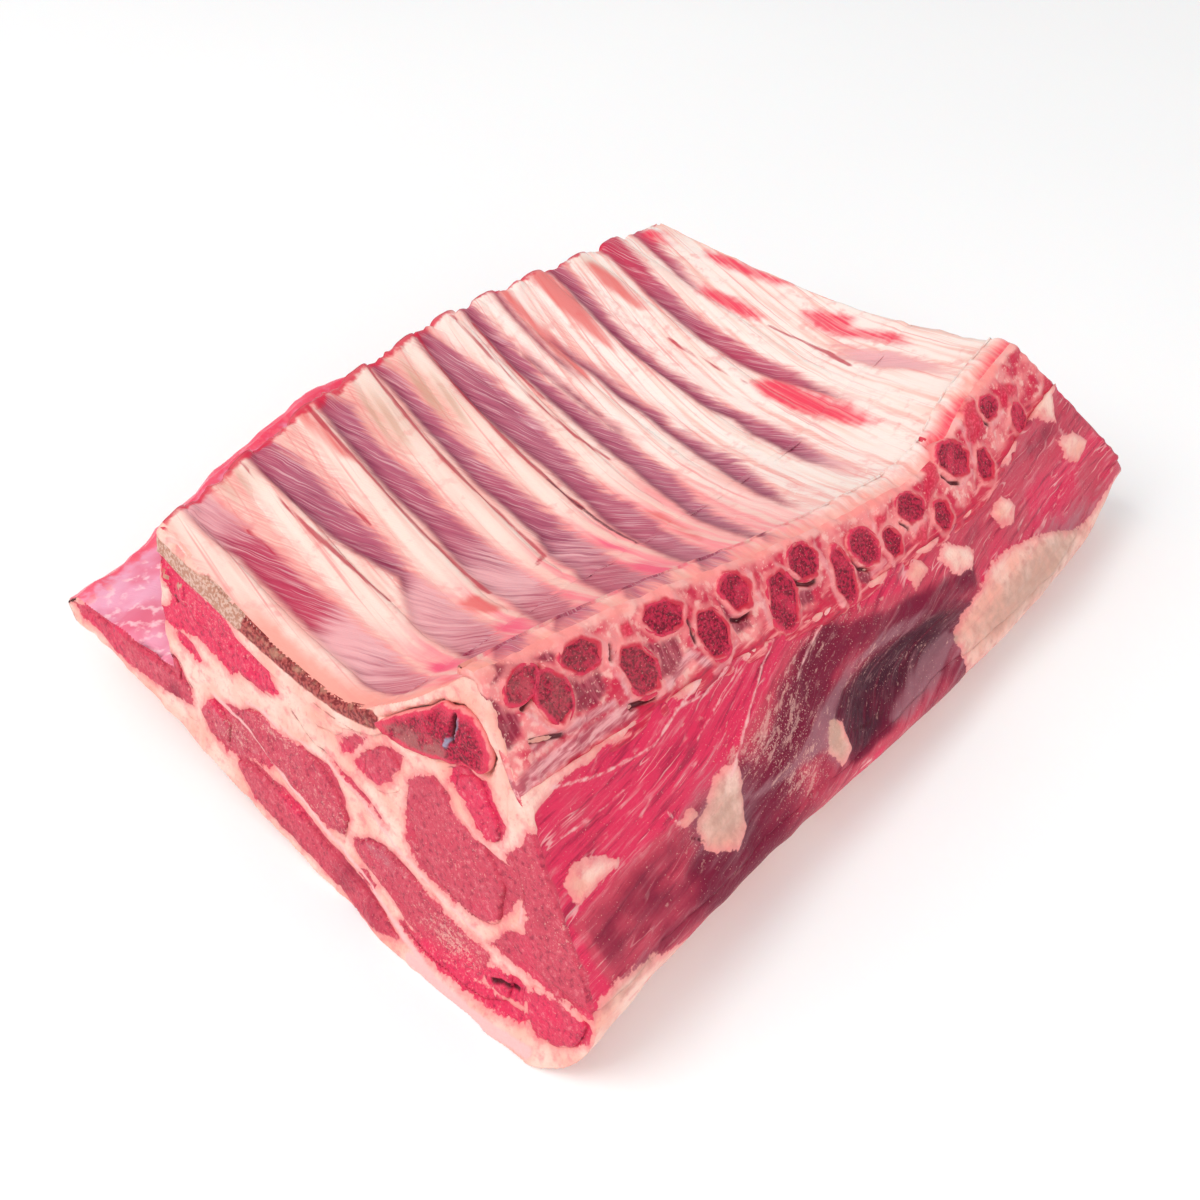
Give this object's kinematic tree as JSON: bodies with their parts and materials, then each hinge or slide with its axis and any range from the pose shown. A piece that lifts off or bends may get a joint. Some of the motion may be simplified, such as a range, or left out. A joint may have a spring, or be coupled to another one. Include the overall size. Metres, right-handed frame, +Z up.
{
  "type": "raw lamb rack",
  "caption": "Raw bone-in rack of lamb lying fat side down, sawn along the spine, with bare ribs above and cut muscles at the end.",
  "frame": {"origin": "middle of the bounding box, at the height of the surface the fat side lies on", "axes": "+X along the spine from the shoulder end to the loin end, +Y from the spine to the rib ends, +Z up from the fat cover to the inner face of the ribs"},
  "size_m": [0.274, 0.2182, 0.0905],
  "materials": {
    "fat": "soft moist fat, peach and cream",
    "lean": "wet raw muscle, crimson with pale grain",
    "dark_lean": "wet raw muscle, darker red",
    "membrane": "thin glossy membrane over mauve muscle",
    "bone": "bare rib bone under membrane, cream",
    "marrow": "sawn spongy bone, dark red"
  },
  "bodies": {
    "root": {"fat_and_seams": "fat", "loin_eye": "lean", "side_muscle": "dark_lean", "middle_muscle_outer": "dark_lean", "middle_muscle_inner": "lean", "cap_muscle": "lean", "flap_muscle": "lean", "tail_muscle": "lean", "chine_muscle": "dark_lean", "chine_lean": "lean", "rib_wall": "membrane", "rib_01": "bone", "rib_02": "bone", "rib_03": "bone", "rib_04": "bone", "rib_05": "bone", "rib_06": "bone", "rib_07": "bone", "rib_08": "bone", "rib_09": "bone", "rib_10": "bone", "vertebra_01": "marrow", "vertebra_02": "marrow", "vertebra_03": "marrow", "vertebra_04": "marrow", "vertebra_05": "marrow", "vertebra_06": "marrow", "vertebra_07": "marrow", "vertebra_08": "marrow", "vertebra_09": "marrow", "vertebra_10": "marrow"}
  },
  "joints": []
}
